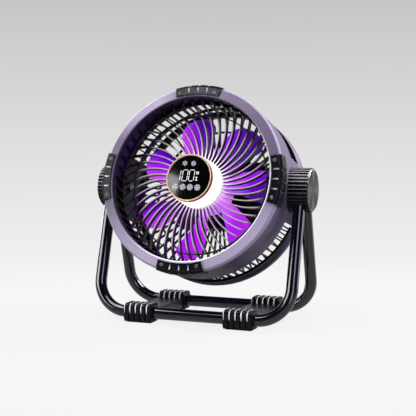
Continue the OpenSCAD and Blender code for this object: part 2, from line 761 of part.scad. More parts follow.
module impeller() color(violet) in_head() {
    ring(cup_r - cup_t, cup_r, cup_back_z, cup_front_z);
    ring(shaft_r, cup_r - cup_t / 2, cup_front_z - cup_t, cup_front_z);
    ring(shaft_r, boss_r, cup_front_z - boss_len, cup_front_z);
    for (k = [0:blade_count - 1]) rotate(360 * k / blade_count) blade();
}

module rotor_can() color(steel) in_head() {
    ring(can_in_r, can_out_r, magnet_front_z - magnet_len - can_t, cup_front_z - cup_t);
    ring(boss_r + seat, can_out_r, cup_front_z - cup_t - can_t, cup_front_z - cup_t);
}

module rotor_magnets() color(dark) in_head() ring(magnet_in_r, can_in_r - seat / 2,
    magnet_front_z - magnet_len, magnet_front_z);

module rotor_shaft() color("silver") in_head() translate([0, 0, shaft_back_z])
    cylinder(r = shaft_r, h = shaft_front_z - shaft_back_z);

module spinner_nut() color(steel) in_head() difference() {
    translate([0, 0, cup_front_z]) cylinder(r = nut_r, h = nut_len, $fn = 6);
    translate([0, 0, cup_front_z - over]) cylinder(r = shaft_r, h = nut_len + 2 * over);
}

// Rear pod
module pod_plan(inset) translate([0, pod_rise]) rounded_rect(pod_w - 2 * inset, pod_h - 2 * inset,
    pod_corner_r - inset);

module pod_screw_places() for (x = [-1, 1], y = [-1, 1])
    translate([x * (pod_w / 2 - pod_screw_inset), pod_rise + y * (pod_h / 2 - pod_screw_inset), 0])
        children();

module pod_shell() color(black) in_head() difference() {
    union() {
        difference() {
            translate([0, 0, pod_split_z]) linear_extrude(pod_front_z - pod_split_z) pod_plan(0);
            translate([0, 0, pod_split_z - over]) linear_extrude(pod_inner_z - pod_split_z + over)
                pod_plan(pod_t);
        }
        pod_screw_places() translate([0, 0, pod_split_z])
            cylinder(r = pod_boss_r, h = pod_inner_z - pod_split_z + pod_t / 2);
        for (x = [-1, 1], y = [-1, 1])
            translate([control_x + x * (control_w / 2 - control_inset),
                pod_rise + y * (control_h / 2 - control_inset), control_z])
                cylinder(r = post_small_r, h = control_gap + pod_t / 2);
    }
    pod_screw_places() translate([0, 0, pod_split_z - over])
        cylinder(r = pod_screw_shank_r + seat, h = pod_screw_len + over);
    translate([pod_w / 2 - 2 * pod_t, port_y - port_w / 2 - seat, port_z - port_h / 2 - seat])
        cube([3 * pod_t, port_w + 2 * seat, port_h + 2 * seat]);
}

module pod_cover() color(black) in_head() difference() {
    union() {
        translate([0, 0, pod_back_z + pod_t / 2]) linear_extrude(pod_t / 2) pod_plan(0);
        translate([0, 0, pod_back_z]) linear_extrude(pod_t) pod_plan(cover_step / 2);
    }
    pod_screw_places() {
        translate([0, 0, pod_back_z - over]) cylinder(r = pod_screw_shank_r + seat, h = pod_t + 2 * over);
        translate([0, 0, pod_back_z - over]) cylinder(r = pod_screw_r + seat, h = pod_t / 2 + over);
    }
}

module pod_screws() color(steel) in_head() pod_screw_places() {
    translate([0, 0, pod_back_z + pod_t / 2 - pod_screw_h]) difference() {
        cylinder(r = pod_screw_r, h = pod_screw_h);
        translate([0, 0, -over]) cylinder(r = recess_r, h = recess_depth + over);
    }
    translate([0, 0, pod_back_z + pod_t / 2])
        cylinder(r = pod_screw_shank_r, h = pod_screw_len - pod_screw_end_gap + pod_t / 2);
}

module cell_places() for (k = [0:cell_count - 1])
    translate([cell_x, pod_rise + (k - (cell_count - 1) / 2) * cell_pitch, cell_z]) children();

module battery_tray() color(dark) in_head() {
    translate([cell_x, pod_rise, pod_inner_z - tray_t / 2])
        cube([cell_len + 2 * tray_t + 2 * seat, cell_count * cell_pitch - cell_gap, tray_t], center = true);
    for (s = [-1, 1]) translate([cell_x + s * (cell_len / 2 + seat + tray_t / 2), pod_rise,
        pod_inner_z - cell_d / 4])
        cube([tray_t, cell_count * cell_pitch - cell_gap, cell_d / 2], center = true);
}

module battery_cells() color("steelblue") in_head() cell_places() rotate([0, 90, 0])
    cylinder(d = cell_d, h = cell_len, center = true);

module control_board() color(board_green) in_head() {
    translate([control_x, pod_rise, control_z - board_t / 2])
        cube([control_w, control_h, board_t], center = true);
    for (s = [-1, 1]) translate([control_x - control_w / 4, pod_rise + s * control_h / 4,
        control_z - board_t - led_size / 2]) cube([control_w / 3, control_w / 3, led_size], center = true);
}

module charge_port() color("silver") in_head() translate([port_x, port_y - port_w / 2, port_z - port_h / 2])
    difference() {
        cube([port_len, port_w, port_h]);
        translate([2 * port_t, port_t, port_t]) cube([port_len, port_w - 2 * port_t, port_h - 2 * port_t]);
    }

module port_flap() color(rubber) in_head() translate([pod_w / 2 + seat, port_y, port_z]) {
    translate([0, -flap_w / 2, -flap_h / 2]) cube([flap_t, flap_w, flap_h]);
    translate([-flap_plug_len, -port_w / 2 + port_t + flap_plug_gap, -port_h / 2 + port_t + flap_plug_gap])
        cube([flap_plug_len + flap_t / 2, port_w - 2 * port_t - 2 * flap_plug_gap,
            port_h - 2 * port_t - 2 * flap_plug_gap]);
    translate([flap_t / 2, -flap_w / 2, flap_h / 2]) rotate([-90, 0, 0])
        cylinder(r = flap_pin_r, h = flap_w);
}

// Pivots
module pivot_bolt() {
    bar_x(bolt_r, side_back_x - bolt_head_h / 2, cap_in_x - turn_gap);
    bar_x(bolt_head_r, side_back_x - bolt_head_h, side_back_x);
}

module pivot_bolt_right() color(steel) in_head() pivot_bolt();
module pivot_bolt_left() color(steel) in_head() mirror([1, 0, 0]) pivot_bolt();

module at_pivot() translate([0, 0, pivot_h]) children();

module rib_grooves(x_low, x_high) for (k = [0:hub_rib_count - 1]) rotate([360 * k / hub_rib_count, 0, 0])
    translate([x_low, -hub_groove_w / 2, hub_r - hub_groove_depth])
        cube([x_high - x_low, hub_groove_w, 2 * hub_groove_depth]);

module leg_line(s) translate([0, s * foot_y, tube_h]) rotate([s * leg_lean, 0, 0]) children();

module pivot_hub() difference() {
    at_pivot() difference() {
        bar_x(hub_r, hub_in_x, hub_out_x);
        rib_grooves(drum_r, hub_out_x + over);
        bar_x(bolt_r + seat, hub_in_x - over, hub_out_x + over);
    }
    for (s = [-1, 1]) leg_line(s) translate([leg_x, 0, 0]) cylinder(r = socket_r, h = leg_len - socket_stop);
}

module hub_right() color(black) pivot_hub();
module hub_left() color(black) mirror([1, 0, 0]) pivot_hub();

module friction_washers() color(steel) at_pivot() both_sides() difference() {
    bar_x(washer_out_r, pocket_x + run_gap, hub_in_x - run_gap);
    bar_x(washer_in_r, pocket_x - over, hub_in_x + over);
}

module clamp_knob() at_pivot() difference() {
    union() {
        bar_x(hub_r, knob_in_x, knob_in_x + knob_skirt_len);
        translate([knob_in_x + knob_skirt_len, 0, 0]) rotate([0, 90, 0])
            cylinder(r1 = hub_r, r2 = hub_r - knob_edge, h = knob_len - knob_skirt_len - cap_rise);
    }
    rib_grooves(knob_in_x - over, knob_in_x + knob_skirt_len);
    bar_x(cap_r + seat, cap_in_x, knob_out_x + over);
    bar_x(bolt_r + run_gap, knob_in_x - over, knob_out_x);
}

module knob_cap() at_pivot() translate([cap_in_x, 0, 0]) rotate([0, 90, 0]) rotate_extrude() polygon([
    [0, 0], [cap_r, 0], [cap_r, cap_t - cap_rise], [cap_r - cap_rise, cap_t], [0, cap_t]]);

module clamp_knob_right() color(black) clamp_knob();
module clamp_knob_left() color(black) mirror([1, 0, 0]) clamp_knob();
module knob_cap_right() color(steel) knob_cap();
module knob_cap_left() color(steel) mirror([1, 0, 0]) knob_cap();

// Stand
module tube_path(r) {
    rotate([0, 90, 0]) cylinder(r = r, h = 2 * (leg_x - bend_r), center = true);
    both_sides() {
        translate([leg_x - bend_r, 0, bend_r]) rotate([90, 0, 0]) rotate(-90)
            rotate_extrude(angle = 90) translate([bend_r, 0]) circle(r);
        translate([leg_x, 0, bend_r]) cylinder(r = r, h = leg_len - bend_r - socket_stop - turn_gap);
    }
}

module frame(s) leg_line(s) difference() {
    tube_path(tube_r);
    tube_path(tube_r - tube_t);
    both_sides() translate([leg_x, 0, leg_len - socket_stop - turn_gap - over / 2])
        cylinder(r = tube_r - tube_t, h = over);
}

module front_frame() color(dark) frame(-1);
module rear_frame() color(dark) frame(1);

// Feet
module sleeve_block(half, w) translate([0, 0, tube_h]) rotate([90, 0, 90])
    linear_extrude(w, center = true) rounded_rect(2 * half, 2 * half, sleeve_corner_r);

module sleeve_solid() difference() {
    union() {
        sleeve_block(sleeve_half - sleeve_groove, sleeve_len);
        for (k = [0:sleeve_rib_count - 1])
            translate([(k - (sleeve_rib_count - 1) / 2) * sleeve_pitch, 0, 0])
                sleeve_block(sleeve_half, sleeve_rib_w);
    }
    translate([0, 0, tube_h]) rotate([0, 90, 0])
        cylinder(r = tube_r + seat, h = sleeve_len + 2 * over, center = true);
}

module half_space(z_low, z_high) translate([-sleeve_len, -2 * foot_y, z_low])
    cube([2 * sleeve_len, 4 * foot_y, z_high - z_low]);

module foot_screw_places() for (s = [-1, 1], t = [-1, 1]) translate([t * sleeve_pitch, s * foot_y
    - s * foot_screw_y, 0]) children();

module foot() translate([sleeve_x, 0, 0]) difference() {
    union() {
        for (s = [-1, 1]) intersection() {
            translate([0, s * foot_y, 0]) sleeve_solid();
            half_space(tube_h + split_gap / 2, sleeve_top + over);
        }
        difference() {
            union() {
                translate([-bridge_w / 2, -foot_y + tube_r, bridge_top - bridge_t])
                    cube([bridge_w, 2 * (foot_y - tube_r), bridge_t]);
                for (x = [-1, 1]) translate([x * (bridge_w - bridge_t) / 2 - bridge_t / 2,
                    -foot_y + sleeve_half + split_gap, bridge_top - bridge_h])
                    cube([bridge_t, 2 * (foot_y - sleeve_half - split_gap), bridge_h]);
                for (x = [-1, 1]) translate([x * (bridge_w - bridge_t) / 2 - bridge_t / 2,
                    -foot_y + tube_r, tube_h + split_gap / 2])
                    cube([bridge_t, 2 * (foot_y - tube_r), bridge_rise - split_gap / 2]);
            }
            for (s = [-1, 1]) translate([0, s * foot_y, tube_h]) rotate([0, 90, 0])
                cylinder(r = tube_r + seat, h = 2 * bridge_w, center = true);
        }
    }
    foot_screw_places() translate([0, 0, -over])
        cylinder(r = foot_screw_shank_r + seat, h = bridge_top - bridge_t / 2 + over);
}

module foot_right() color(black) foot();
module foot_left() color(black) mirror([1, 0, 0]) foot();

module foot_clamps() color(black) both_sides() translate([sleeve_x, 0, 0]) difference() {
    for (s = [-1, 1]) intersection() {
        translate([0, s * foot_y, 0]) sleeve_solid();
        half_space(rubber_t, tube_h - split_gap / 2);
    }
    foot_screw_places() {
        translate([0, 0, -over]) cylinder(r = foot_screw_shank_r + seat, h = tube_h + over);
        translate([0, 0, -over]) cylinder(r = foot_screw_r + seat, h = over + rubber_t + 2 * foot_screw_h);
    }
}

module foot_screws() color(steel) both_sides() translate([sleeve_x, 0, 0]) foot_screw_places() {
    translate([0, 0, rubber_t + foot_screw_h]) difference() {
        cylinder(r = foot_screw_r, h = foot_screw_h);
        translate([0, 0, -over]) cylinder(r = recess_r, h = recess_depth + over);
    }
    translate([0, 0, rubber_t + 2 * foot_screw_h])
        cylinder(r = foot_screw_shank_r, h = bridge_top - bridge_t / 2 - rubber_t - 2 * foot_screw_h - seat);
}

module rubber_feet() color(rubber) both_sides() for (s = [-1, 1])
    translate([sleeve_x - sleeve_len / 2 + rubber_inset, s * foot_y - rubber_w / 2, 0])
        cube([sleeve_len - 2 * rubber_inset, rubber_w, rubber_t]);

front_rim();
drum_shell();
rear_ring();
duct_wall();
duct_band();
duct_fins();
front_grille();
vent_basket();
rear_grille();
pad_top();
pad_right();
pad_bottom();
pad_left();
pad_screws();
pad_inlays();
led_board();
lamp_diffuser();
display_carrier();
display_board();
display_bezel();
display_lens();
pivot_bolt_right();
pivot_bolt_left();
motor_base();
motor_cover();
stator_core();
stator_coils();
bearing_front();
bearing_rear();
pod_shell();
pod_cover();
battery_tray();
battery_cells();
control_board();
charge_port();
pod_screws();
port_flap();
impeller();
rotor_can();
rotor_magnets();
rotor_shaft();
spinner_nut();
front_frame();
rear_frame();
hub_right();
hub_left();
friction_washers();
foot_left();
foot_right();
foot_clamps();
foot_screws();
rubber_feet();
clamp_knob_right();
clamp_knob_left();
knob_cap_right();
knob_cap_left();
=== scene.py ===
import math
import bpy
from mathutils import Euler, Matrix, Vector


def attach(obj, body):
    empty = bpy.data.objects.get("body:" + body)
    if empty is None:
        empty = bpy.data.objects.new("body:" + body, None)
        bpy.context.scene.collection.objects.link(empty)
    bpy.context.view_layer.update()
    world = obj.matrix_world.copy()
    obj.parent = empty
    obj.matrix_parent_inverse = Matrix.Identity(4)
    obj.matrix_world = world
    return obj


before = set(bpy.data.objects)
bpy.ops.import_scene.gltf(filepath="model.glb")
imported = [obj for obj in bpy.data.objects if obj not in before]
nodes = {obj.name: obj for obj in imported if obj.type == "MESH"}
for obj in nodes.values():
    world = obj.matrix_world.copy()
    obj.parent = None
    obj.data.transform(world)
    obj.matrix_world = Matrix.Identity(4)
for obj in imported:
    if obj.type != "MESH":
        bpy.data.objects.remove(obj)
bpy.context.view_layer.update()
MM = 0.001

# Stand: heights over the floor and distances from the middle, in metres
PIVOT_H = 0.1815
HUB_R = 0.0294
HALF_HUB_RIB = math.pi / 36
SLEEVE_X = 0.072
SLEEVE_REACH = 0.019
SLEEVE_MID_H = 0.013
SLEEVE_PITCH = 0.0083
SLEEVE_RIB_HALF = 0.002
BRIDGE_HALF = 0.0433

# Head: its turn at rest, and distances from its pivot in metres, with z towards the front
REST_TILT = 15.8
HEAD_TURN = Euler((math.radians(90 - REST_TILT), 0, 0))
OPEN_R = 0.112
RIM_R = 0.1275
RIM_FACE_Z = 0.058
RIM_UNDER_Z = 0.05
DRUM_IN_R = 0.124
REAR_RING_Z = -0.045
PIVOT_CUP_R = 0.0385
CUP_IN_X = 0.1156
GRILLE_EDGE_Z = 0.0236
COLLAR_R = 0.034
BEZEL_R = 0.0325
LENS_FRONT = 0.0613
LENS_DOME_R = 0.22
LAMP_FRONT_Z = 0.056
LAMP_FOOT_Z = 0.0286

# Blades: their number, the half angle of one, how its middle line turns from root to tip, and how
# broad the clouds in its colour are
BLADES = 7
BLADE_HALF = math.radians(15.5)
BLADE_AT = math.radians(5.2)
BLADE_SWEEP = math.radians(12) / 0.0686
BLADE_MID_R = 0.0683
BLADE_CLOUD_MM = 45

# Camera, at the photograph's angle
AZIMUTH = math.radians(21.93)
ELEVATION = math.radians(4.23)
LOOK_AT = Vector((0, 0, 0.15))
CAMERA_AWAY = 1.3314

# Floor: the sheet's radius, and where it starts and ends to fade
FLOOR_R = 1.1
FADE_FROM = 0.28
FADE_TO = 0.75

# Pale edges, worn on some finishes and a painted highlight on others: how broad their patches are, and
# the cosines between a point's own normal and its rounded one on flat ground and on a sharp edge
EDGE_PATCH_MM = 4
FLAT_COS = 0.995
EDGE_COS = 0.9

# Sockets of a Mix node that mixes colours
FACTOR, UNDER, OVER, MIXED = 0, 6, 7, 2


def linear(code):
    """sRGB hex colour to a linear RGBA tuple."""
    parts = [int(code[i:i + 2], 16) / 255 for i in (1, 3, 5)]
    return tuple(c / 12.92 if c <= 0.04045 else ((c + 0.055) / 1.055) ** 2.4 for c in parts) + (1.0,)


def plug(tree, node, inputs):
    """Links or sets a node's inputs; a hex colour is turned to linear."""
    for key, value in inputs.items():
        if isinstance(value, bpy.types.NodeSocket):
            tree.links.new(value, node.inputs[key])
        else:
            node.inputs[key].default_value = linear(value) if isinstance(value, str) else value


def add(tree, kind, inputs=None, out=0, stops=(), **settings):
    """Adds a node with its settings, links and colour stops, and gives one output, or all for None."""
    node = tree.nodes.new("ShaderNode" + kind)
    for key, value in settings.items():
        setattr(node, key, value)
    plug(tree, node, inputs or {})
    if stops:
        elements = node.color_ramp.elements
        while len(elements) < len(stops):
            elements.new(0.5)
        for element, (place, code) in zip(elements, stops):
            element.position = place
            element.color = linear(code)
    return node.outputs if out is None else node.outputs[out]


def mask(tree, *steps, operation="MULTIPLY"):
    """Joins soft steps, masks and plain numbers into one mask.

    A step is a value, the place where it is 0 and the place where it is 1, and may name
    two other levels to run between.
    """
    whole = None
    for step in steps:
        part = add(tree, "MapRange", dict(enumerate(step))) if isinstance(step, tuple) else step
        whole = part if whole is None else add(tree, "Math", {0: whole, 1: part}, operation=operation)
    return whole


def from_axis(tree, across, up):
    """How far a point is from an axis, from its two offsets."""
    return add(tree, "VectorMath", {0: add(tree, "CombineXYZ", {0: across, 1: up})}, out="Value",
               operation="LENGTH")


def stand_place(tree):
    """A point's place at rest, as sockets x, y, z in metres."""
    return add(tree, "SeparateXYZ", {0: add(tree, "TexCoord", out="Object")}, out=None)


def hub_place(tree):
    """A point's place round the tilt axis: forwards, upwards and its distance from the axis."""
    forwards, height = stand_place(tree)[1:3]
    upwards = add(tree, "Math", {0: height, 1: PIVOT_H}, operation="SUBTRACT")
    return forwards, upwards, from_axis(tree, forwards, upwards)


def head_place(tree):
    """A point's place in the head's own frame, as its radius and x, y, z, in metres."""
    place = add(tree, "TexCoord", out="Object")
    turned = add(tree, "Mapping", {"Vector": place, "Location": (0, 0, PIVOT_H),
                                   "Rotation": tuple(HEAD_TURN)}, vector_type="TEXTURE")
    x, y, z = add(tree, "SeparateXYZ", {0: turned}, out=None)
    return from_axis(tree, x, y), x, y, z


def sharp_edge_mask(tree, width_mm):
    """1 on sharp edges and 0 elsewhere."""
    rounded = add(tree, "Bevel", {"Radius": width_mm * MM}, samples=4)
    plain = add(tree, "NewGeometry", out="Normal")
    same = add(tree, "VectorMath", {0: rounded, 1: plain}, out="Value", operation="DOT_PRODUCT")
    return mask(tree, (same, FLAT_COS, EDGE_COS))


def new_material(name, rough, **sockets):
    """A new material, its tree and its shader, whose plain values are set on its own sockets."""
    made = bpy.data.materials.new(name)
    made.use_nodes = True
    tree = made.node_tree
    shader = tree.nodes["Principled BSDF"]
    plug(tree, shader, {"Roughness": rough})
    plug(tree, shader, {key.replace("_", " "): value for key, value in sockets.items()})
    return made, tree, shader


def dress(material, names):
    """Puts a material on the named CAD nodes."""
    for name in names:
        data = nodes[name].data
        data.materials.clear()
        data.materials.append(material)


def tint(tree, shader, code, *steps):
    """Mixes a colour into the finish where the mask of these steps is 1."""
    base = shader.inputs["Base Color"].links[0].from_socket
    amount = mask(tree, *steps)
    mixed = add(tree, "Mix", {FACTOR: amount, UNDER: base, OVER: code}, out=MIXED, data_type="RGBA")
    plug(tree, shader, {"Base Color": mixed})


def grain(tree, shader, rough, spot_mm, grain_mm, deep_mm, rough_spread=0.08, stretch=(1, 1, 1),
          round_mm=0.4):
    """Uneven gloss, a fine grain in the surface, and edges that catch light as if rounded."""
    place = add(tree, "TexCoord", out="Object")
    spots = add(tree, "TexNoise", {"Vector": place, "Scale": 1 / (spot_mm * MM), "Detail": 4.0})
    stretched = add(tree, "Mapping", {"Vector": place, "Scale": stretch})
    fine = add(tree, "TexNoise", {"Vector": stretched, "Scale": 1 / (grain_mm * MM), "Detail": 3.0,
                                  "Roughness": 0.6})
    rounded = add(tree, "Bevel", {"Radius": round_mm * MM}, samples=4)
    bump = add(tree, "Bump", {"Strength": 1.0, "Distance": deep_mm * MM, "Height": fine, "Normal": rounded})
    gloss = mask(tree, (spots, 0.3, 0.7, rough - rough_spread, rough + rough_spread))
    plug(tree, shader, {"Roughness": gloss, "Normal": bump})


def finish(name, names, dark, pale, patch_mm, rough, grain_mm, deep_mm, edge=None, edge_mm=0.5,
           rough_spread=0.08, stretch=(1, 1, 1), round_mm=0.4, **sockets):
    """Dresses nodes in a moulded, painted or metal finish: two close colours, pale edges (wear on some
    finishes, a painted highlight on others) and a grain.
    """
    made, tree, shader = new_material(name, rough, **sockets)
    place = add(tree, "TexCoord", out="Object")
    patches = add(tree, "TexNoise", {"Vector": place, "Scale": 1 / (patch_mm * MM), "Detail": 3.0})
    colour = add(tree, "Mix", {FACTOR: patches, UNDER: dark, OVER: pale}, out=MIXED, data_type="RGBA")
    plug(tree, shader, {"Base Color": colour})
    if edge:
        worn_or_lit_patches = add(tree, "TexNoise", {"Vector": place, "Scale": 1 / (EDGE_PATCH_MM * MM), "Detail": 4.0})
        tint(tree, shader, edge, sharp_edge_mask(tree, edge_mm), (worn_or_lit_patches, 0.35, 0.65))
    grain(tree, shader, rough, patch_mm / 3, grain_mm, deep_mm, rough_spread, stretch, round_mm)
    dress(made, names)
    return tree, shader


def shown_to_camera(tree, mirrored):
    """1 for what the camera or glass sees, and the given share for what a gloss mirrors."""
    rays = add(tree, "LightPath", out=None)
    return mask(tree, rays["Is Camera Ray"], mask(tree, rays["Is Glossy Ray"], mirrored),
                rays["Is Transmission Ray"], operation="MAXIMUM")


# Camera and view
back = Vector((math.sin(AZIMUTH) * math.cos(ELEVATION), -math.cos(AZIMUTH) * math.cos(ELEVATION),
               math.sin(ELEVATION)))
camera_data = bpy.data.cameras.new("camera")
camera = bpy.data.objects.new("camera", camera_data)
bpy.context.scene.collection.objects.link(camera)
camera.location = LOOK_AT + back * CAMERA_AWAY
camera.rotation_mode = "QUATERNION"
camera.rotation_quaternion = (-back).to_track_quat("-Z", "Y")
camera_data.sensor_width = 36
camera_data.lens = 83.27
camera_data.shift_x = 0.0063
camera_data.shift_y = 0.0067
camera_data.clip_start = 0.01
bpy.context.scene.camera = camera
bpy.context.scene.view_settings.view_transform = "Standard"

# World: the photograph's pale gradient behind the object, dark in front of it for what gloss
# mirrors, and a dim fill for diffuse light
world = bpy.data.worlds.new("studio")
bpy.context.scene.world = world
world.use_nodes = True
tree = world.node_tree
tree.nodes.clear()
toward = add(tree, "SeparateXYZ", {0: add(tree, "TexCoord", out="Generated")}, out=None)
height = add(tree, "Math", {0: toward[2], 1: 0.5, 2: 0.5}, operation="MULTIPLY_ADD")
sky = add(tree, "ValToRGB", {0: height}, stops=(
    (0.30, "#f4f4f4"), (0.417, "#f6f6f6"), (0.468, "#e8e8e8"), (0.52, "#d7d7d7"),
    (0.575, "#c4c4c4"), (0.63, "#6c6c6c"), (0.72, "#303030"), (1.0, "#262626")))
to_camera = add(tree, "LightPath", out="Is Camera Ray")
strength = mask(tree, to_camera, (toward[1], 0.1, 0.75, 0.1, 1.0), operation="MAXIMUM")
shown = add(tree, "Background", {0: sky, 1: strength})
fill = add(tree, "Background", {0: "#eeeef4", 1: mask(tree, (height, 0.42, 0.62, 0.03, 0.3))})
both = add(tree, "MixShader", {0: shown_to_camera(tree, 1.0), 1: fill, 2: shown})
add(tree, "OutputWorld", {"Surface": both}, out=None)

# Floor: a pale round sheet that fades into the background and keeps the object's shadow
bpy.ops.mesh.primitive_circle_add(vertices=96, radius=FLOOR_R, fill_type="TRIFAN")
floor = bpy.context.object
floor.name = "floor"
floor_material = bpy.data.materials.new("pale_floor")
floor_material.use_nodes = True
tree = floor_material.node_tree
tree.nodes.clear()
paper = add(tree, "BsdfDiffuse", {0: "#3a3a3a"})
glow = add(tree, "Emission", {0: "#f5f5f5", 1: mask(tree, shown_to_camera(tree, 0.5), 0.93)})
lit = add(tree, "AddShader", {0: paper, 1: glow})
far = add(tree, "VectorMath", {0: add(tree, "TexCoord", out="Object")}, out="Value", operation="LENGTH")
fade = add(tree, "MapRange", {0: far, 1: FADE_FROM, 2: FADE_TO}, interpolation_type="SMOOTHSTEP")
blended = add(tree, "MixShader", {0: fade, 1: lit, 2: add(tree, "BsdfTransparent")})
add(tree, "OutputMaterial", {"Surface": blended}, out=None)
floor.data.materials.append(floor_material)

# Lamps: a large key at the front left, a box above, one high behind the right for the rim's top,
# a weak tall one at the front right, a strip behind each side, and a weak fill high at the front
for name, place, aim, size, power, colour in (
        ("key", (-1.97, -1.48, 0.82), (0, 0, 0.2), (1.8, 1.1), 38, "#ffffff"),
        ("top", (-0.2, -0.35, 1.6), (0, 0, 0.18), (1.4, 0.7), 17, "#ffffff"),
        ("top_right", (1.05, 0.8, 1.05), (0, 0, 0.2), (0.8, 0.8), 34, "#f8f4ff"),
        ("front_right", (1.4, -1.55, 0.6), (0, 0, 0.18), (0.8, 1.4), 13, "#e4d8ff"),
        ("left_strip", (-1.3, 1.1, 0.7), (0, 0, 0.18), (0.35, 1.5), 10, "#f4eeff"),
        ("right_strip", (1.5, 0.9, 0.6), (0, 0, 0.18), (0.5, 1.3), 6, "#f4eeff"),
        ("front_fill", (-0.7, -0.95, 1.95), (0, 0, 0.1), (1.3, 0.45), 14, "#f6f0ff")):
    lamp_data = bpy.data.lights.new(name, "AREA")
    lamp_data.shape = "RECTANGLE"
    lamp_data.size, lamp_data.size_y = size
    lamp_data.energy = power
    lamp_data.color = linear(colour)[:3]
    lamp = bpy.data.objects.new(name, lamp_data)
    bpy.context.scene.collection.objects.link(lamp)
    lamp.location = place
    lamp.rotation_mode = "QUATERNION"
    lamp.rotation_quaternion = (Vector(aim) - Vector(place)).to_track_quat("-Z", "Y")

# Finishes. The real grain of a mould, a coat or a mill is finer than a pixel of the render, so it
# is drawn coarser here, mostly at 0.2 to 0.6 mm, where it still breaks up the gloss.

# Shell: moulded ABS in a pearl lacquer, a satin mauve that pales where edges are rubbed
tree, shader = finish("satin_mauve_plastic", ("front_rim", "drum_shell", "rear_ring"), "#62576c", "#72667e",
                      patch_mm=60, rough=0.42, grain_mm=0.35, deep_mm=0.008, edge="#d6cbe2", edge_mm=0.7,
                      Sheen_Weight=0.08, Sheen_Tint="#e6d8f2", Specular_IOR_Level=0.18)
radius, x, y, z = head_place(tree)

# The rim's face, with a painted highlight that makes it paler in its lower half and at the upper left
slope = add(tree, "Math", {0: x, 1: -0.25, 2: y}, operation="MULTIPLY_ADD")
low_side = mask(tree, (slope, -0.015, -0.095, 0.0, 0.9))
upper_left = mask(tree, (y, 0.05, 0.085, 0.0, 0.5), (x, -0.02, -0.055))
tint(tree, shader, "#c6bcd2", mask(tree, low_side, upper_left, operation="MAXIMUM"),
     (z, RIM_FACE_Z - 2.5 * MM, RIM_FACE_Z))

# A painted highlight on the rim's pale outer edge, then painted shade in its dark bore, and a painted
# highlight on the lip at the lower right
tint(tree, shader, "#cfc5da", (radius, RIM_R - 2.2 * MM, RIM_R - 1.4 * MM),
     (z, RIM_FACE_Z - 6 * MM, RIM_FACE_Z - 4 * MM), 0.55)
bore = mask(tree, (radius, OPEN_R + 0.4 * MM, OPEN_R + 0.1 * MM))
lit_lip = mask(tree, (add(tree, "Math", {0: x, 1: y}, operation="SUBTRACT"), 0.0, 0.1))
tint(tree, shader, "#1a1422", bore)
tint(tree, shader, "#d6d2dc", bore, (z, RIM_FACE_Z - 1 * MM, RIM_FACE_Z), lit_lip)
tint(tree, shader, "#ffffff", (radius, OPEN_R + 1.8 * MM, OPEN_R + 1.3 * MM), lit_lip,
     (radius, OPEN_R + 0.1 * MM, OPEN_R + 0.4 * MM))

# Painted shade over the drum's dark inside, but not the outer faces of its pivot cups, and over the rear
# ring's underside
outwards = add(tree, "Math", {0: x}, operation="ABSOLUTE")
off_cup = mask(tree, (from_axis(tree, y, z), PIVOT_CUP_R, PIVOT_CUP_R + 0.5 * MM),
               (outwards, CUP_IN_X + 0.8 * MM, CUP_IN_X + 0.4 * MM), operation="MAXIMUM")
tint(tree, shader, "#08070b", (radius, DRUM_IN_R + 0.3 * MM, DRUM_IN_R),
     (z, RIM_UNDER_Z + 0.5 * MM, RIM_UNDER_Z), off_cup)
tint(tree, shader, "#1c1822", (y, -0.05, -0.11), (z, REAR_RING_Z, REAR_RING_Z - 5 * MM), 0.75)

# Duct: glossy violet ABS that shows at the upper left only, with painted shade over it elsewhere
tree, shader = finish("gloss_purple_plastic", ("duct_wall",), "#1e1730", "#3f3168", patch_mm=40, rough=0.3,
                      grain_mm=0.3, deep_mm=0.008, edge="#6a598c", Coat_Weight=0.05, Coat_Roughness=0.15,
                      Specular_IOR_Level=0.2)
x, y = head_place(tree)[1:3]
tint(tree, shader, "#08070b", mask(tree, (x, -0.1, -0.05), (y, 0.04, 0.0), operation="MAXIMUM"))

# Vents and rear grille: black ABS from a smooth mould, near to gloss, with thin painted highlights on its
# edges
finish("moulded_black_plastic", ("duct_band", "duct_fins", "vent_basket", "rear_grille", "motor_cover"),
       "#040405", "#08080a", patch_mm=30, rough=0.26, grain_mm=0.3, deep_mm=0.006, edge="#3c3a40",
       Specular_IOR_Level=0.12)

# Pod: black ABS with a spark-eroded texture, which looks matte and a little grey
finish("textured_black_plastic", ("pod_shell", "pod_cover"), "#0b0a0c", "#131214", patch_mm=25, rough=0.45,
       grain_mm=0.55, deep_mm=0.03, edge="#3a393d", Specular_IOR_Level=0.3)

# Bumper pads: satin rubber, deep black, with a painted highlight on their pale edges
finish("satin_black_rubber", ("pad_top", "pad_right", "pad_bottom", "pad_left"), "#060507", "#0d0c0f",
       patch_mm=18, rough=0.4, grain_mm=0.4, deep_mm=0.03, edge="#d4d2da", edge_mm=0.6, round_mm=1.0,
       Specular_IOR_Level=0.14, Coat_Weight=0.05, Coat_Roughness=0.1)

# Feet and socket flap: soft rubber, matte and dusty grey
finish("matte_black_rubber", ("rubber_feet", "port_flap"), "#1a191b", "#262527", patch_mm=12, rough=0.7,
       grain_mm=0.3, deep_mm=0.04, Specular_IOR_Level=0.3)

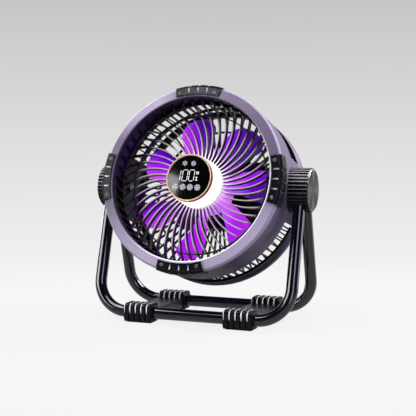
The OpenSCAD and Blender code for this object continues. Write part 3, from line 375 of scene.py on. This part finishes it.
# Hubs and knobs: black ABS whose ribs each show a painted highlight as a pale line, brighter in the upper
# half, with thin painted highlights on their edges
tree, shader = finish("ribbed_black_plastic",
                      ("hub_right", "hub_left", "clamp_knob_right", "clamp_knob_left"), "#050506", "#0b0a0c",
                      patch_mm=20, rough=0.3, grain_mm=0.25, deep_mm=0.004, edge="#3c3a40", edge_mm=0.3,
                      Specular_IOR_Level=0.2)
forwards, upwards, axle_r = hub_place(tree)
turn = add(tree, "Math", {0: upwards, 1: forwards}, operation="ARCTAN2")
rib_turn = add(tree, "Math", {0: turn, 1: HALF_HUB_RIB, 2: -HALF_HUB_RIB}, operation="WRAP")
off_rib = add(tree, "Math", {0: rib_turn}, operation="ABSOLUTE")
tint(tree, shader, "#e6e7e2", (off_rib, 0.78 * HALF_HUB_RIB, 0.93 * HALF_HUB_RIB),
     (axle_r, HUB_R - 1.5 * MM, HUB_R - 0.6 * MM), (upwards, -0.01, 0.02, 0.06, 1.0))

# Foot bridges: black ABS with a painted, faintly glowing highlight beside each groove of the sleeves, and a
# painted highlight that makes the bridge paler towards the front
tree, shader = finish("foot_black_plastic", ("foot_left", "foot_right"), "#060507", "#0d0c0e", patch_mm=22,
                      rough=0.26, grain_mm=0.3, deep_mm=0.006, edge="#2c2a30", edge_mm=0.5, round_mm=0.8,
                      Specular_IOR_Level=0.25, Emission_Color="#f2f0f6")
x, y, z = stand_place(tree)
outwards = add(tree, "Math", {0: x}, operation="ABSOLUTE")
along = add(tree, "Math", {0: outwards, 1: SLEEVE_X}, operation="SUBTRACT")
in_pitch = add(tree, "Math", {0: along, 1: SLEEVE_PITCH / 2, 2: -SLEEVE_PITCH / 2}, operation="WRAP")
to_left = mask(tree, in_pitch, add(tree, "Math", {0: x}, operation="SIGN"))
off_middle = add(tree, "Math", {0: along}, operation="ABSOLUTE")
sidewards = add(tree, "Math", {0: y}, operation="ABSOLUTE")
streak = mask(tree, (to_left, -SLEEVE_RIB_HALF + 0.4 * MM, -SLEEVE_RIB_HALF),
              (off_middle, SLEEVE_REACH + 0.5 * MM, SLEEVE_REACH),
              (z, SLEEVE_MID_H - 2 * MM, SLEEVE_MID_H + 6 * MM),
              (sidewards, BRIDGE_HALF - 0.5 * MM, BRIDGE_HALF + 0.5 * MM))
tint(tree, shader, "#f2f0f6", streak)
tint(tree, shader, "#544d5c", (sidewards, BRIDGE_HALF + 0.5 * MM, BRIDGE_HALF - 0.5 * MM),
     (y, 0.045, -0.045), 0.6)
# Painted glow: the highlight streaks give off a little light of their own
plug(tree, shader, {"Emission Strength": mask(tree, streak, 0.3)})

# Foot clamps: the same ABS from a rougher mould, which stays dark
finish("foot_matte_plastic", ("foot_clamps",), "#08070a", "#100f12", patch_mm=22, rough=0.45, grain_mm=0.35,
       deep_mm=0.012, edge="#2c2a30", Specular_IOR_Level=0.18)

# Front grille: black ABS ribs with painted highlights on their front edges, whitest near the collar, where a
# painted glow stands in for the lamp's light
tree, shader = finish("grille_black_plastic", ("front_grille",), "#060508", "#0c0b0f", patch_mm=20,
                      rough=0.26, grain_mm=0.3, deep_mm=0.006, Specular_IOR_Level=0.3,
                      Emission_Color="#fff6ff")
radius, z = head_place(tree)[::3]
front_edge = (z, GRILLE_EDGE_Z, GRILLE_EDGE_Z + 0.5 * MM)
tint(tree, shader, "#bfbdb4", front_edge, (radius, 0.0965, 0.088))
tint(tree, shader, "#fbf4ff", front_edge, (radius, 0.05, 0.036))
# Painted glow: the grille's collar gives off light, though it is no lamp
plug(tree, shader, {"Emission Strength": mask(tree, (radius, COLLAR_R + 0.3 * MM, COLLAR_R - 0.2 * MM))})

# Lamp: milky polycarbonate that glows an even white, faintly violet at its front edge
tree, shader = finish("glowing_lamp_diffuser", ("lamp_diffuser",), "#fbf6ff", "#ffffff", patch_mm=15,
                      rough=0.35, grain_mm=0.5, deep_mm=0.01, Emission_Strength=1.3)
depth = mask(tree, (head_place(tree)[3], LAMP_FRONT_Z, LAMP_FOOT_Z))
plug(tree, shader, {"Emission Color": add(tree, "ValToRGB", {0: depth}, stops=(
    (0.0, "#f3e9f8"), (0.25, "#ffffff"), (1.0, "#ffffff")))})

# Display glass: black glass, slightly domed, so the room's reflection runs out softly over it
tree, shader = finish("black_display_glass", ("display_lens",), "#020203", "#050506", patch_mm=25, rough=0.12,
                      grain_mm=3.0, deep_mm=0.001, rough_spread=0.02, Coat_Weight=0.1, Coat_Roughness=0.08,
                      Specular_IOR_Level=0.6)
radius = head_place(tree)[0]
dome = mask(tree, radius, radius, -1 / (2 * LENS_DOME_R))
plug(tree, shader, {"Normal": add(tree, "Bump", {"Distance": 1.0, "Height": dome})})

# Display ring: plastic plated in polished rose gold, with a red line where it meets the lamp
tree, shader = finish("polished_rose_gold", ("display_bezel",), "#f4c892", "#fbdcae", patch_mm=12, rough=0.24,
                      grain_mm=0.2, deep_mm=0.0003, round_mm=0.5, rough_spread=0.02, Metallic=0.4)
tint(tree, shader, "#a0203c", (head_place(tree)[0], BEZEL_R - 0.6 * MM, BEZEL_R - 0.2 * MM))

# Inner parts: plain black ABS, a dull grey black
finish("inner_black_plastic", ("display_carrier", "motor_base", "battery_tray"), "#1a191c", "#262428",
       patch_mm=15, rough=0.5, grain_mm=0.4, deep_mm=0.02)

# Blades: tinted polypropylene with a painted glow as if lit by the lamp, painted shade that runs from violet
# at one edge to pink at the other, and a painted pale glow near the hub
blade, tree, shader = new_material("violet_blade_plastic", 0.32, Coat_Weight=0.12, Coat_Roughness=0.2,
                                   Specular_IOR_Level=0.3, Emission_Strength=0.6)
radius, x, y = head_place(tree)[:3]
turn = add(tree, "Math", {0: y, 1: x}, operation="ARCTAN2")
sweep = add(tree, "Math", {0: radius, 1: BLADE_SWEEP, 2: -BLADE_AT - BLADE_SWEEP * BLADE_MID_R},
            operation="MULTIPLY_ADD")
swept = mask(tree, turn, sweep, operation="ADD")
across = add(tree, "Math", {0: swept, 1: math.pi / BLADES, 2: -math.pi / BLADES}, operation="WRAP")
clouds = add(tree, "TexNoise", {"Vector": add(tree, "TexCoord", out="Object"),
                                "Scale": 1 / (BLADE_CLOUD_MM * MM), "Detail": 1.0})
cloudy = add(tree, "Math", {0: clouds, 1: 0.3, 2: -0.15}, operation="MULTIPLY_ADD")
# Painted shade: the blades darken towards the upper right
rightwards = mask(tree, x, y, operation="ADD")
tone = add(tree, "ValToRGB", {0: mask(tree, (across, -BLADE_HALF, BLADE_HALF), cloudy,
                                      (rightwards, 0.02, 0.1, 0.12, -0.45),
                                      (radius, 0.05, 0.1, 0.12, -0.14), operation="ADD")}, stops=(
    (0.0, "#50009c"), (0.22, "#7004ce"), (0.45, "#a818fc"), (0.72, "#c42cff"), (1.0, "#dc50ff")))
plug(tree, shader, {"Base Color": tone})
# Painted light: a vivid magenta patch on the blades at the lower right
tint(tree, shader, "#c022fa", (y, -0.015, -0.05, 0.0, 0.85), (x, -0.055, -0.035))
# Painted glow: paler near the hub, where the lamp's light falls
tint(tree, shader, "#f59aff", (radius, 0.062, 0.036), 0.45)
plug(tree, shader, {"Emission Color": shader.inputs["Base Color"].links[0].from_socket})
grain(tree, shader, rough=0.32, spot_mm=10, grain_mm=0.4, deep_mm=0.006)
dress(blade, ("impeller",))

# Screws, washers, nut and pivot bolts: zinc-plated steel, a soft grey shine
finish("zinc_screw_steel", ("pod_screws", "foot_screws", "spinner_nut", "friction_washers",
                            "pivot_bolt_right", "pivot_bolt_left"),
       "#7b7c80", "#9a9b9f", patch_mm=2, rough=0.3, grain_mm=0.1, deep_mm=0.004, Metallic=1.0)

# Pad screws: black oxide steel, dark with near-white edges
finish("black_oxide_steel", ("pad_screws",), "#161618", "#242427", patch_mm=2, rough=0.3, grain_mm=0.1,
       deep_mm=0.004, edge="#f0eff4", edge_mm=0.9, Metallic=0.6)

# Pad strips: plastic plated in satin silver, bright and even
finish("satin_silver_strip", ("pad_inlays",), "#c4c3c8", "#e8e7ec", patch_mm=4, rough=0.3, grain_mm=0.3,
       deep_mm=0.006, Metallic=0.4)

# Bearings, shaft and socket: ground steel, with a fine shine drawn out along the grinding
finish("ground_bearing_steel", ("bearing_front", "bearing_rear", "rotor_shaft", "charge_port"),
       "#a5a7ab", "#bfc1c5", patch_mm=6, rough=0.2, grain_mm=0.15, deep_mm=0.002, stretch=(1, 8, 1),
       Metallic=1.0)

# Stator and rotor can: stacked steel sheets, dull grey with fine lines
finish("laminated_motor_steel", ("stator_core", "rotor_can"), "#4d4f54", "#6c6e73", patch_mm=9, rough=0.4,
       grain_mm=0.35, deep_mm=0.02, stretch=(0.1, 4, 4), Metallic=0.9)

# Magnets: sintered and coated, a rough dark grey
finish("sintered_magnet", ("rotor_magnets",), "#2e2d31", "#3f3e43", patch_mm=5, rough=0.55, grain_mm=0.2,
       deep_mm=0.02)

# Windings: enamelled copper wire, a warm shine with fine ridges, as of its turns
finish("enamelled_copper_wire", ("stator_coils",), "#8f4a1f", "#c07234", patch_mm=3, rough=0.3, grain_mm=0.6,
       deep_mm=0.12, stretch=(0.15, 1, 1), Metallic=0.8)

# Boards: green solder resist over copper, a mottled half gloss
finish("green_circuit_board", ("led_board", "display_board", "control_board"), "#12492b", "#1d6b40",
       patch_mm=6, rough=0.4, grain_mm=0.5, deep_mm=0.02)

# Battery cells: blue shrink sleeve, smooth with slight waves
finish("shrink_sleeve_blue", ("battery_cells",), "#2c5f96", "#3a74b0", patch_mm=20, rough=0.35, grain_mm=1.5,
       deep_mm=0.02)

# Frame tubes: gloss black paint over steel, a mirror with a slight orange peel
finish("gloss_black_paint", ("front_frame", "rear_frame"), "#050407", "#0b0a0f", patch_mm=70, rough=0.16,
       grain_mm=2.2, deep_mm=0.004, rough_spread=0.04, Coat_Weight=1.0, Coat_Roughness=0.06,
       Coat_Tint="#efe8fa", Specular_IOR_Level=0.5)

# Knob caps: turned aluminium, dark, with a painted cone of light across it and a painted highlight on its
# edge. The lathe's rings are finer than a pixel, so they are drawn 0.35 mm apart.
LATHE_RING_MM = 0.35
cap, tree, shader = new_material("turned_aluminium", 0.3, Metallic=1.0, Anisotropic=0.9)
forwards, axle_r = hub_place(tree)[::2]
rings = add(tree, "TexNoise", {"Vector": add(tree, "CombineXYZ", {0: axle_r}),
                               "Scale": 1 / (LATHE_RING_MM * MM), "Detail": 3.0, "Roughness": 0.7})
off_level = add(tree, "Math", {0: forwards, 1: axle_r}, operation="DIVIDE")
cone = add(tree, "Math", {0: off_level}, operation="ABSOLUTE")
plug(tree, shader, {
    "Base Color": add(tree, "Mix", {FACTOR: rings, UNDER: "#0a0b0c", OVER: "#1c1e1f"}, out=MIXED,
                      data_type="RGBA"),
    "Roughness": mask(tree, (rings, 0.0, 1.0, 0.22, 0.42)),
    "Tangent": add(tree, "Tangent", direction_type="RADIAL", axis="X"),
    "Normal": add(tree, "Bump", {"Strength": 0.3, "Distance": 0.01 * MM, "Height": rings})})
tint(tree, shader, "#a4aaab", (cone, 0.5, 0.0), 0.4)
tint(tree, shader, "#eef0f0", sharp_edge_mask(tree, 0.8))
dress(cap, ("knob_cap_right", "knob_cap_left"))

# How far the back and front of a display mark stand over the glass
MARK_LIFTS_MM = (0.01, 0.06)


def mark_print(name, dark, pale, patch_mm, glow):
    """A display mark's material: a thin glowing print, lit from behind and a little uneven."""
    made, tree, shader = new_material(name, 0.4, Emission_Strength=glow)
    uneven = add(tree, "TexNoise", {"Vector": add(tree, "TexCoord", out="Object"),
                                    "Scale": 1 / (patch_mm * MM), "Detail": 1.0})
    tone = add(tree, "Mix", {FACTOR: uneven, UNDER: dark, OVER: pale}, out=MIXED, data_type="RGBA")
    plug(tree, shader, {"Base Color": tone, "Emission Color": tone})
    return made


def over_glass(x_mm, y_mm, lift_mm):
    """A point over the display's face, in metres in the shared frame."""
    place = Vector((x_mm * MM, y_mm * MM, LENS_FRONT + lift_mm * MM))
    place.rotate(HEAD_TURN)
    return place + Vector((0, 0, PIVOT_H))


def display_mark(name, outlines, material):
    """Thin raised marks on the glass, each outline a list of points in millimetres."""
    points = []
    faces = []
    for outline in outlines:
        count = len(outline)
        first = len(points)
        points += [over_glass(px, py, lift) for lift in MARK_LIFTS_MM for px, py in outline]
        faces.append([first + count + i for i in range(count)])
        faces.append([first + i for i in reversed(range(count))])
        for i in range(count):
            j = (i + 1) % count
            faces.append([first + i, first + j, first + count + j, first + count + i])
    mesh = bpy.data.meshes.new(name)
    mesh.from_pydata([tuple(p) for p in points], [], faces)
    mesh.materials.append(material)
    made = bpy.data.objects.new(name, mesh)
    bpy.context.scene.collection.objects.link(made)
    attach(made, "head")


def digit_bar(x0, y0, x1, y1, half=0.34, lean=0.08, still_y=3):
    """One segment of a digit, with pointed ends, leaning to the right about the height still_y."""
    a, b = Vector((x0, y0)), Vector((x1, y1))
    tip = (b - a).normalized() * half
    side = Vector((-tip.y, tip.x))
    outline = (a, a + tip - side, b - tip - side, b, b - tip + side, a + tip + side)
    return [(p.x + lean * (p.y - still_y), p.y) for p in outline]


def round_point(cx, cy, r, angle):
    """The point at an angle on a circle."""
    return cx + r * math.cos(angle), cy + r * math.sin(angle)


def icon_ring(cx, cy, r_out, r_in, count=24):
    """A ring as a row of small quads."""
    step = 2 * math.pi / count
    parts = []
    for i in range(count):
        corners = ((r_in, i), (r_out, i), (r_out, i + 1), (r_in, i + 1))
        parts.append([round_point(cx, cy, r, turns * step) for r, turns in corners])
    return parts


def sun_icon(cx, cy, rays, ring=(1.9, 1.0), base_r=1.8, tip_r=3.9, base_half=0.75, tip_half=0.3):
    """A lamp icon: a ring with tapered rays."""
    parts = icon_ring(cx, cy, *ring)
    middle = Vector((cx, cy))
    for k in range(rays):
        angle = math.pi / 2 + 2 * math.pi * k / rays
        out = Vector((math.cos(angle), math.sin(angle)))
        side = Vector((-out.y, out.x))
        base = middle + out * base_r
        tip = middle + out * tip_r
        corners = (base - side * base_half, tip - side * tip_half, tip + side * tip_half,
                   base + side * base_half)
        parts.append([tuple(p) for p in corners])
    return parts


def fan_icon(cx, cy, blades, ring=(4.1, 3.5), hub=(0.7, 0.05), tip_r=3.45, first=0.4, lead=0.35, fill=0.66):
    """A fan icon: a ring, blades whose tips lead their roots, and a small hub."""
    parts = icon_ring(cx, cy, *ring)
    pitch = 2 * math.pi / blades
    width = pitch * fill
    for k in range(blades):
        root = pitch * k + first
        tip = [round_point(cx, cy, tip_r, root + lead + width * t) for t in (0, 0.25, 0.5, 0.75, 1)]
        parts.append([round_point(cx, cy, hub[0], root)] + tip + [round_point(cx, cy, hub[0], root + width)])
    return parts + icon_ring(cx, cy, *hub, count=12)


# Display marks: plain numbers and icons, placed in millimetres from the middle of the glass
lit_print = mark_print("lit_display_mark", "#d6d6da", "#f2f2f5", patch_mm=3, glow=0.75)
dim_print = mark_print("dim_display_mark", "#8a8a8e", "#b8b8bc", patch_mm=2, glow=0.45)
TOP, MID, LOW = 10.4, 2.9, -4.6
DIGIT_W = 7.2
ONE_X = -12.4
ZEROS_X = (-9.4, 0.2)
END_GAP = 0.9
UPRIGHT_GAP = 0.7
MID_GAP = 0.4
digits = [digit_bar(ONE_X, TOP - END_GAP, ONE_X, MID + MID_GAP),
          digit_bar(ONE_X, MID - MID_GAP, ONE_X, LOW + END_GAP)]
for left in ZEROS_X:
    right = left + DIGIT_W
    digits += [digit_bar(left + END_GAP, level, right - END_GAP, level) for level in (TOP, LOW)]
    for upright in (left, right):
        digits += [digit_bar(upright, TOP - UPRIGHT_GAP, upright, MID + MID_GAP),
                   digit_bar(upright, MID - MID_GAP, upright, LOW + UPRIGHT_GAP)]
display_mark("display_digits", digits, lit_print)
display_mark("display_degree", icon_ring(11.9, 6.4, 1.9, 1.15), lit_print)
hourglass = [[(9.6, 0.9), (11.0, -1.5), (12.4, 0.9)], [(9.6, -3.9), (12.4, -3.9), (11.0, -1.5)]]
display_mark("display_unit", hourglass, lit_print)
for number, sun in enumerate(((-7.6, 19.5, 6), (4.8, 19.3, 8)), 1):
    display_mark(f"display_sun_{number}", sun_icon(*sun), dim_print)
for number, fan in enumerate(((-18.2, -12.6, 3), (-7.5, -12.8, 4), (3.0, -13.0, 5), (13.6, -13.2, 6)), 1):
    display_mark(f"display_fan_{number}", fan_icon(*fan), dim_print)
